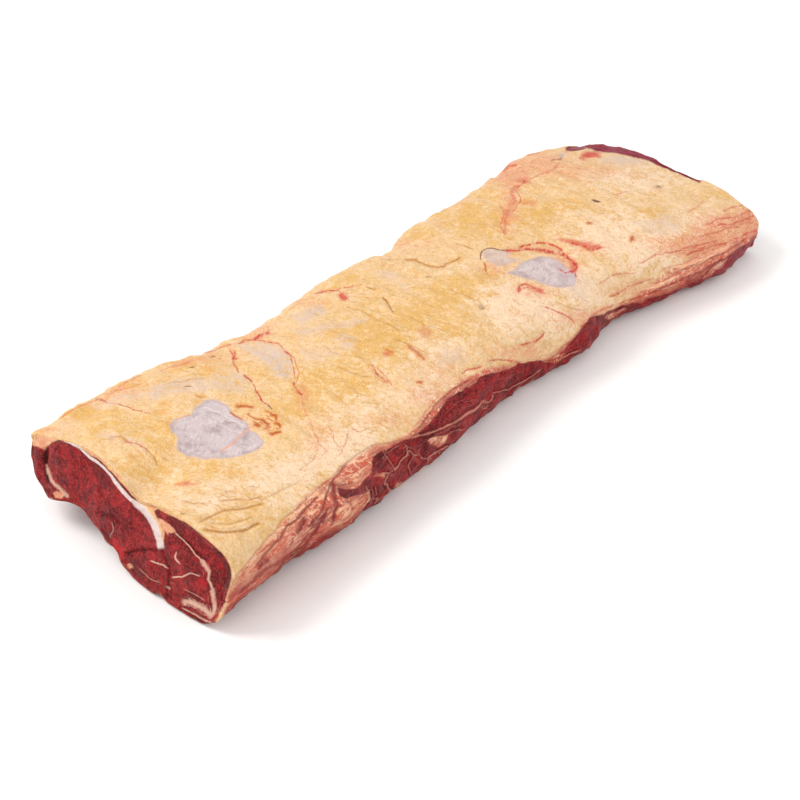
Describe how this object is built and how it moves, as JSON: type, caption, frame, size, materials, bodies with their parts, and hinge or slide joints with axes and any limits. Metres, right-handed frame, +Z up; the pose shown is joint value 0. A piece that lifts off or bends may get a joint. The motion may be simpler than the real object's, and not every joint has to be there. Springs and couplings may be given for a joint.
{
  "type": "raw beef striploin",
  "caption": "Whole raw boneless beef striploin: a long flattened joint of dark red lean under a golden-cream fat cap, lying on its flat underside.",
  "frame": {"origin": "middle of the bounding box on the surface the joint lies on", "axes": "+X along the joint from its near cut face to its far end, +Z up, -Y to the side where the open muscle shows"},
  "size_m": [0.625, 0.229, 0.0788],
  "materials": {
    "lean": "moist dark red muscle with pale seams and fine marbling",
    "fat": "waxy golden-cream fat with grey-lilac membrane patches and fine red veins"
  },
  "bodies": {
    "root": {"lean": "lean", "fat_cap": "fat"}
  },
  "joints": []
}
